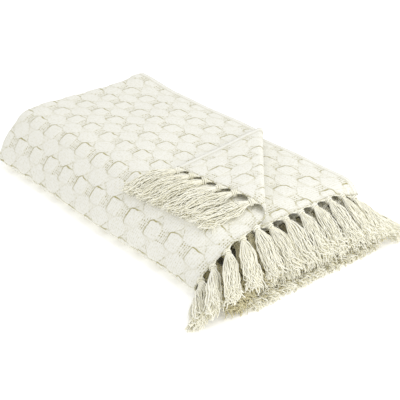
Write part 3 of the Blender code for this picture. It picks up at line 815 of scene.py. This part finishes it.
def cloth_columns(step):
    """Mesh columns along the cloth: the kind of each and its share of that part."""
    outer_steps = round(PLY_LENGTH / step)
    columns = [("outer", 1.0 - i / outer_steps) for i in range(outer_steps + 1)]
    columns += [("turn", i / TURN_COLUMNS) for i in range(1, TURN_COLUMNS)]
    coarse_steps = round(INNER_HIDDEN * PLY_LENGTH / (COARSER * step))
    columns += [("inner", INNER_HIDDEN * i / coarse_steps) for i in range(coarse_steps)]
    shown = 1.0 - INNER_HIDDEN
    fine_steps = round(shown * PLY_LENGTH / step)
    columns += [("inner", INNER_HIDDEN + shown * i / fine_steps) for i in range(fine_steps + 1)]
    return columns


def cloth_rows(step):
    """Mesh rows across the cloth: fine where the folded cloth shows."""
    hidden = CLOTH_WIDTH - WIDTH_SHOWN
    fine_steps = round(WIDTH_SHOWN / step)
    coarse_steps = round(hidden / (COARSER * step))
    rows = [WIDTH_SHOWN * i / fine_steps for i in range(fine_steps)]
    return rows + [WIDTH_SHOWN + hidden * i / coarse_steps for i in range(coarse_steps + 1)]


def lay_cloth(columns, rows):
    """Flat mesh of the cloth, with its outer ply, turn and inner ply side by side along X."""
    bm = bmesh.new()
    bmesh.ops.create_grid(bm, x_segments=len(columns) - 1, y_segments=len(rows) - 1, size=0.5)
    for vert in bm.verts:
        kind, share = columns[round((vert.co.x + 0.5) * (len(columns) - 1))]
        way = rows[round((vert.co.y + 0.5) * (len(rows) - 1))]
        outer_x = FOLD_X + share * (PLY_LENGTH - FOLD_X)
        x_flat = {"outer": outer_x, "turn": TURN_FROM - share, "inner": INNER_FROM - share}[kind]
        vert.co = Vector((x_flat, way, 0.0))
    return bm


def cut_crease(bm):
    """Cut the outer ply along the bend of its turned corner, so that it can fold there."""
    on_side, along = crease()
    across = Vector((along.y, -along.x))
    for cut in range(CREASE_CUTS + 1):
        past = math.pi * CREASE_RADIUS * cut / CREASE_CUTS - CREASE_RADIUS
        start = on_side + across * past
        outer_faces = [f for f in bm.faces if min(v.co.x for v in f.verts) > TURN_FROM]
        parts = set(outer_faces)
        for face in outer_faces:
            parts.update(face.edges)
            parts.update(face.verts)
        bmesh.ops.bisect_plane(
            bm,
            geom=list(parts),
            dist=CUT_REACH,
            plane_co=(start.x, start.y, 0.0),
            plane_no=(across.x, across.y, 0.0),
        )


def along_cloth(x_flat):
    """Distance along the opened cloth, from the fold, of a point of the flat mesh."""
    if x_flat > TURN_FROM:
        return x_flat
    if x_flat > INNER_FROM:
        return FOLD_X + (x_flat - TURN_FROM) * TURN_LENGTH
    return FOLD_X - TURN_LENGTH + (x_flat - INNER_FROM) * (PLY_LENGTH - FOLD_X)


def folded_place(x_flat, way, lift):
    """Place of a point of the flat mesh once the cloth is folded."""
    if x_flat > TURN_FROM:
        past = past_crease(Vector((x_flat, way))) / (math.pi * CREASE_RADIUS)
        lift *= 1.0 - smooth(past + CREASE_EASE) * smooth(1.0 + CREASE_EASE - past)
    if x_flat > INNER_FROM:
        lift *= smooth(section_point(OUTER, way)[1] / FLOOR_FLATTENED - FLOOR_FLAT)
    if x_flat > TURN_FROM:
        place = outer_place(x_flat, way, lift)
    elif x_flat > INNER_FROM:
        place = turn_place(TURN_FROM - x_flat, way, lift)
    else:
        place = inner_place(INNER_FROM - x_flat, way, lift)
    return settle(place)


def make_cloth(sizes, colours):
    """Folded cloth as one sheet with its relief: cut flat, creased, then folded up."""
    bm = lay_cloth(cloth_columns(sizes.mesh_step), cloth_rows(sizes.mesh_step))
    cut_crease(bm)
    flat_places = {vert: (along_cloth(vert.co.x), vert.co.y) for vert in bm.verts}
    uv = bm.loops.layers.uv.new("flat cloth")
    for face in bm.faces:
        for loop in face.loops:
            loop[uv].uv = flat_places[loop.vert]
    for vert in bm.verts:
        lift = sizes.relief * relief(*flat_places[vert]) * plain_share(*flat_places[vert])
        vert.co = folded_place(vert.co.x, vert.co.y, lift)
    bmesh.ops.recalc_face_normals(bm, faces=bm.faces)
    mesh = bpy.data.meshes.new("woven_bedspread_cloth")
    bm.to_mesh(mesh)
    bm.free()
    cloth = bpy.data.objects.new("woven_bedspread_cloth", mesh)
    bpy.context.scene.collection.objects.link(cloth)
    shell = cloth.modifiers.new("cloth thickness", "SOLIDIFY")
    shell.thickness = CLOTH_THICKNESS
    shell.offset = 0.0
    finish_piece(cloth, "bedspread_cloth", cotton_material(colours))
    return cloth


def tassel_form(rng):
    """What sets one tassel apart: where its knot is, its width share and its lean."""
    knot_at = KNOT_AT * rng.uniform(*KNOT_AT_SHARES)
    return knot_at, rng.uniform(*WIDTH_SHARES), rng.uniform(-1.0, 1.0)


def strand_points(place, way, pitch, sizes, rng, form, turn, ring):
    """One strand: from the cloth's edge through the knot to its curled tip."""
    knot_at, width_share, tassel_lean = form
    length = sizes.tassel_length * rng.uniform(*STRAND_LENGTHS)
    wave_length = rng.uniform(*WAVE_LENGTHS)
    phase, phase_up = rng.uniform(0.0, 2 * math.pi), rng.uniform(0.0, 2 * math.pi)
    curl, drift = rng.uniform(0.0, 2 * math.pi), rng.uniform(-1.0, 1.0)
    lean, lift = ring * math.cos(turn), ring * math.sin(turn)
    root = ROOT_SPREAD * pitch
    full_width, full_thick = width_share * sizes.fan_width / 2, sizes.tassel_thickness / 2
    points = [
        (place(way, -ROOT_HIDDEN, root * lean, ROOT_LIFT * lift), ROOT_YARN),
        (place(way, knot_at / 2, root / 2 * lean, KNOT_CORE * lift), BEFORE_KNOT_YARN),
        (place(way, knot_at, KNOT_CORE * lean, KNOT_CORE * lift), IN_KNOT_YARN),
    ]
    start = knot_at + KNOT_LENGTH / 2
    for step in range(1, sizes.strand_steps + 1):
        share = 1.0 - (1.0 - step / sizes.strand_steps) ** TIP_CROWDING
        beyond = start + (length - start) * share
        fan = NECK + (full_width - NECK) * min(share * FAN_SPEED, 1.0) ** FAN_ROUNDING
        thick = NECK + (full_thick - NECK) * smooth(share * FAN_SPEED)
        wave_turn = 2 * math.pi * beyond / wave_length
        swing = WAVE_START + (WAVE_END - WAVE_START) * share
        curled = max(share - CURL_FROM, 0.0) / (1.0 - CURL_FROM)
        end, end_turn = CURL * curled**2, curl + CURL_TURN * curled
        aside = fan * lean + swing * math.sin(wave_turn + phase)
        aside += (drift * DRIFT + tassel_lean * TASSEL_LEAN) * share + end * math.cos(end_turn)
        up = thick * lift + swing * math.sin(wave_turn + phase_up) + end * math.sin(end_turn)
        point = place(way, beyond, aside, up)
        point.z += max(thick - place(way, beyond, 0.0, 0.0).z, 0.0)
        points.append((point, 1.0 if step < sizes.strand_steps else TIP_YARN))
    for point, _ in points:
        point.z = max(point.z, sizes.strand_width / 2)
    return points


def knot_points(place, way, knot_at, rng):
    """Yarn wound round the knot: a short coil."""
    centre = place(way, knot_at, 0.0, 0.0)
    rise = max(KNOT_REACH - centre.z, 0.0)
    along = (place(way, knot_at + KNOT_CORE, 0.0, 0.0) - centre).normalized()
    side = (place(way, knot_at, KNOT_CORE, 0.0) - centre).normalized()
    up = along.cross(side).normalized()
    side = up.cross(along)
    tilt = KNOT_TILT * rng.uniform(-1.0, 1.0)
    points = []
    for step in range(KNOT_STEPS + 1):
        share = step / KNOT_STEPS
        angle = 2 * math.pi * KNOT_TURNS * share
        bulge = KNOT_RADIUS - KNOT_ROUNDING * (2 * share - 1) ** 2
        off = (share - 0.5) * KNOT_LENGTH + tilt * math.sin(angle)
        point = centre + along * off + (side * math.cos(angle) + up * math.sin(angle)) * bulge
        points.append((point + Vector((0.0, 0.0, rise)), KNOT_YARN))
    return points


def make_tassels(name, node, place, roots, pitch, sizes, strands, yarn):
    """Knotted tassels of one strip, as one mesh of yarn strands."""
    rng = random.Random(name)
    curve = bpy.data.curves.new(name, "CURVE")
    curve.dimensions = "3D"
    curve.bevel_depth = sizes.strand_width / 2
    curve.bevel_resolution = 0
    curve.use_fill_caps = True
    for way in roots:
        form = tassel_form(rng)
        lines = [knot_points(place, way, form[0], rng)]
        golden = math.pi * (3.0 - math.sqrt(5.0))
        for number in range(strands):
            ring = math.sqrt((number + 0.5) / strands)
            lines.append(strand_points(place, way, pitch, sizes, rng, form, number * golden, ring))
        for line in lines:
            spline = curve.splines.new("POLY")
            spline.points.add(len(line) - 1)
            spline.points.foreach_set("co", [c for point, _ in line for c in (*point, 1.0)])
            spline.points.foreach_set("radius", [radius for _, radius in line])
    holder = bpy.data.objects.new(name + "_curve", curve)
    bpy.context.scene.collection.objects.link(holder)
    depsgraph = bpy.context.evaluated_depsgraph_get()
    mesh = bpy.data.meshes.new_from_object(holder.evaluated_get(depsgraph))
    bpy.data.objects.remove(holder, do_unlink=True)
    mesh.name = name
    tassels = bpy.data.objects.new(name, mesh)
    bpy.context.scene.collection.objects.link(tassels)
    finish_piece(tassels, node, yarn)
    return tassels


def make_fringes(sizes, colours):
    """Every strip of tassels, on both plies and on the turned corner."""
    yarn = yarn_material("twisted cotton yarn", colours.yarn, colours.yarn_shade)
    # Copy of the yarn with painted shade, for the strips under other tassels
    painted_shade_yarn = yarn_material(
        "twisted cotton yarn in painted shade", colours.painted_shade_yarn, colours.painted_shade_yarn_darker
    )
    made = []
    for node, ply, first_row, first_share, last_row, last_share, *hang in FRINGES:
        deep = node in DEEP_FRINGES
        first, last = row_way(first_row, first_share), row_way(last_row, last_share)
        count = max(1, round((last - first) / TASSEL_PITCH))
        pitch = (last - first) / count
        roots = [first + pitch * (number + 0.5) for number in range(count)]

        def place(way, beyond, aside, up, ply=ply, hang=hang):
            return hanging_place(ply, hang, sizes.tassel_length, way, beyond, aside, up)

        made.append(make_tassels(
            node.replace("fringe", "tassels"), node, place, roots, pitch, sizes,
            sizes.deep_strands if deep else sizes.strands, painted_shade_yarn if deep else yarn,
        ))

    def place_turned(way, beyond, aside, up):
        return turned_place(sizes.tassel_length, way, beyond, aside, up)

    made.append(make_tassels(
        "tassels_turned", "fringe_turned", place_turned, FLAP_ROOTS, TASSEL_PITCH, sizes,
        sizes.strands, yarn,
    ))
    return made


def make_floor(settings):
    """Pale matte floor."""
    mesh = bpy.data.meshes.new("floor")
    bm = bmesh.new()
    bmesh.ops.create_grid(bm, x_segments=1, y_segments=1, size=FLOOR_SIZE / 2)
    bm.to_mesh(mesh)
    bm.free()
    floor = bpy.data.objects.new("floor", mesh)
    paint, tree = new_material("pale studio floor")
    shader = add_node(tree, "ShaderNodeBsdfPrincipled", {
        "Base Color": (*settings.floor, 1.0),
        "Roughness": 1.0,
        "Specular IOR Level": 0.0,
        "Emission Color": (*settings.floor, 1.0),
        "Emission Strength": settings.floor_glow,
    })
    add_node(tree, "ShaderNodeOutputMaterial", {"Surface": shader.outputs["BSDF"]})
    mesh.materials.append(paint)
    bpy.context.scene.collection.objects.link(floor)


def make_light(name, power, size, place):
    """Soft round light that looks at the bedspread."""
    light = bpy.data.lights.new(name, "AREA")
    light.shape = "DISK"
    light.size = size
    light.energy = power
    lamp = bpy.data.objects.new(name, light)
    lamp.location = place
    lamp.rotation_euler = (-place).to_track_quat("-Z", "Y").to_euler()
    bpy.context.scene.collection.objects.link(lamp)


def make_camera():
    """Camera where the photo was taken from."""
    eye = bpy.data.cameras.new("photo view")
    eye.sensor_width = CAMERA_SENSOR
    eye.lens = CAMERA_LENS
    eye.clip_end = CAMERA_REACH
    camera = bpy.data.objects.new("photo view", eye)
    level = math.cos(CAMERA_ELEVATION)
    back = Vector((
        math.sin(CAMERA_AZIMUTH) * level,
        -math.cos(CAMERA_AZIMUTH) * level,
        math.sin(CAMERA_ELEVATION),
    ))
    camera.location = CAMERA_TARGET + back * CAMERA_DISTANCE
    camera.rotation_euler = (-back).to_track_quat("-Z", "Y").to_euler()
    bpy.context.scene.collection.objects.link(camera)
    bpy.context.scene.camera = camera


def make_stage(settings):
    """Pale floor, white surroundings, soft lights and the camera."""
    make_floor(settings)
    scene = bpy.context.scene
    world = bpy.data.worlds.new("studio")
    world.use_nodes = True
    sky = world.node_tree.nodes["Background"].inputs
    sky["Color"].default_value = (1.0, 1.0, 1.0, 1.0)
    sky["Strength"].default_value = settings.sky_strength
    scene.world = world
    make_light("soft key", settings.key_power, KEY_SIZE, KEY_PLACE)
    make_light("soft fill", settings.fill_power, FILL_SIZE, FILL_PLACE)
    make_camera()
    scene.view_settings.view_transform = "Standard"
    scene.cycles.max_bounces = LIGHT_BOUNCES
    scene.cycles.diffuse_bounces = LIGHT_BOUNCES


class BedspreadSizes(bpy.types.PropertyGroup):
    """Sizes of the cloth's relief and of its tassels."""

    mesh_step: FloatProperty(
        name="Mesh step", description="Spacing of the cloth's mesh where it shows",
        default=0.0044, unit="LENGTH",
    )
    relief: FloatProperty(
        name="Relief", description="Height of the weave's raised squares",
        default=0.0022, unit="LENGTH",
    )
    tassel_length: FloatProperty(
        name="Tassel length", description="Length from the cloth's edge to the tips",
        default=0.104, unit="LENGTH",
    )
    fan_width: FloatProperty(
        name="Tassel width", description="Width of a tassel near its tip",
        default=0.038, unit="LENGTH",
    )
    tassel_thickness: FloatProperty(
        name="Tassel thickness", description="Thickness of a tassel below its knot",
        default=0.018, unit="LENGTH",
    )
    strand_width: FloatProperty(
        name="Strand width", description="Width of one strand of yarn",
        default=0.0020, unit="LENGTH",
    )
    strands: IntProperty(
        name="Strands", description="Strands in each tassel that shows", default=76, min=8
    )
    deep_strands: IntProperty(
        name="Strands underneath", description="Strands in each tassel under others", default=44, min=8
    )
    strand_steps: IntProperty(
        name="Strand steps", description="Steps along each strand", default=14, min=4
    )


class BedspreadColours(bpy.types.PropertyGroup):
    """Colours of the cloth and the yarn."""

    cloth: FloatVectorProperty(
        name="Cloth", description="Woven cotton in full light",
        subtype="COLOR", default=linear("ecebe3"),
    )
    # Darker cotton along the thread streaks, and painted shade between the lenses and squares
    cloth_shade: FloatVectorProperty(
        name="Cloth shade", description="Cotton between its threads and its lenses",
        subtype="COLOR", default=linear("dedbc8"),
    )
    # Colour of the painted shade in the weave's gaps, holes and lens edges, also used for the selvage
    # lines
    gap: FloatVectorProperty(
        name="Gap", description="Painted shade in the weave's gaps and holes, and the selvage lines",
        subtype="COLOR", default=linear("9a9044"),
    )
    yarn: FloatVectorProperty(
        name="Yarn", description="Tassel yarn", subtype="COLOR", default=linear("faf8ec")
    )
    yarn_shade: FloatVectorProperty(
        name="Yarn shade", description="Darker strands of the yarn",
        subtype="COLOR", default=linear("f2efdb"),
    )
    # Painted shade: a darker, more olive copy of the yarn colours for the strips under other tassels
    painted_shade_yarn: FloatVectorProperty(
        name="Deep yarn", description="Yarn under the outer tassels",
        subtype="COLOR", default=linear("ebe5c6"),
    )
    painted_shade_yarn_darker: FloatVectorProperty(
        name="Deep yarn shade", description="Darker strands there",
        subtype="COLOR", default=linear("d6cea4"),
    )


class BedspreadStage(bpy.types.PropertyGroup):
    """Light and floor of the studio."""

    floor: FloatVectorProperty(
        name="Floor", description="Colour of the floor", subtype="COLOR", default=linear("ffffff")
    )
    floor_glow: FloatProperty(
        name="Floor glow", description="Light of the white floor itself", default=0.15
    )
    sky_strength: FloatProperty(
        name="Sky", description="Strength of the white surroundings", default=0.90
    )
    key_power: FloatProperty(
        name="Key light", description="Power of the soft key light", default=12.0, unit="POWER"
    )
    fill_power: FloatProperty(
        name="Fill light", description="Power of the soft light at the fringed end",
        default=10.0, unit="POWER",
    )


class BEDSPREAD_OT_cloth(bpy.types.Operator):
    """Make the folded woven cloth"""

    bl_idname = "bedspread.cloth"
    bl_label = "Woven cloth"

    def execute(self, context):
        make_cloth(context.scene.bedspread_sizes, context.scene.bedspread_colours)
        return {"FINISHED"}


class BEDSPREAD_OT_fringe(bpy.types.Operator):
    bl_idname = "bedspread.fringe"
    bl_label = "Tassel fringe"

    def execute(self, context):
        tassels = make_fringes(context.scene.bedspread_sizes, context.scene.bedspread_colours)
        return {"FINISHED"}


class BEDSPREAD_OT_stage(bpy.types.Operator):
    """Make the floor, the light and the camera"""

    bl_idname = "bedspread.stage"
    bl_label = "Studio"

    def execute(self, context):
        make_stage(context.scene.bedspread_stage)
        return {"FINISHED"}


class BEDSPREAD_PT_panel(bpy.types.Panel):
    """Lists the bedspread's settings and the buttons that make its pieces"""

    bl_idname = "BEDSPREAD_PT_panel"
    bl_label = "Tasselled bedspread"
    bl_space_type = "VIEW_3D"
    bl_region_type = "UI"
    bl_category = "Bedspread"

    def draw(self, context):
        for group in (
            context.scene.bedspread_sizes,
            context.scene.bedspread_colours,
            context.scene.bedspread_stage,
        ):
            for name in group.__annotations__:
                self.layout.prop(group, name)
        for operator in (BEDSPREAD_OT_stage, BEDSPREAD_OT_cloth, BEDSPREAD_OT_fringe):
            self.layout.operator(operator.bl_idname)


CLASSES = (
    BedspreadSizes,
    BedspreadColours,
    BedspreadStage,
    BEDSPREAD_OT_cloth,
    BEDSPREAD_OT_fringe,
    BEDSPREAD_OT_stage,
    BEDSPREAD_PT_panel,
)


def register():
    """Register the classes and hang the settings on the scene."""
    for each in CLASSES:
        bpy.utils.register_class(each)
    bpy.types.Scene.bedspread_sizes = PointerProperty(type=BedspreadSizes)
    bpy.types.Scene.bedspread_colours = PointerProperty(type=BedspreadColours)
    bpy.types.Scene.bedspread_stage = PointerProperty(type=BedspreadStage)


def unregister():
    """Take the settings off the scene and unregister the classes."""
    del bpy.types.Scene.bedspread_stage
    del bpy.types.Scene.bedspread_colours
    del bpy.types.Scene.bedspread_sizes
    for each in reversed(CLASSES):
        bpy.utils.unregister_class(each)


def main():
    """Make every piece in order."""
    register()
    bpy.ops.bedspread.stage()
    bpy.ops.bedspread.cloth()
    bpy.ops.bedspread.fringe()


if __name__ == "__main__":
    main()
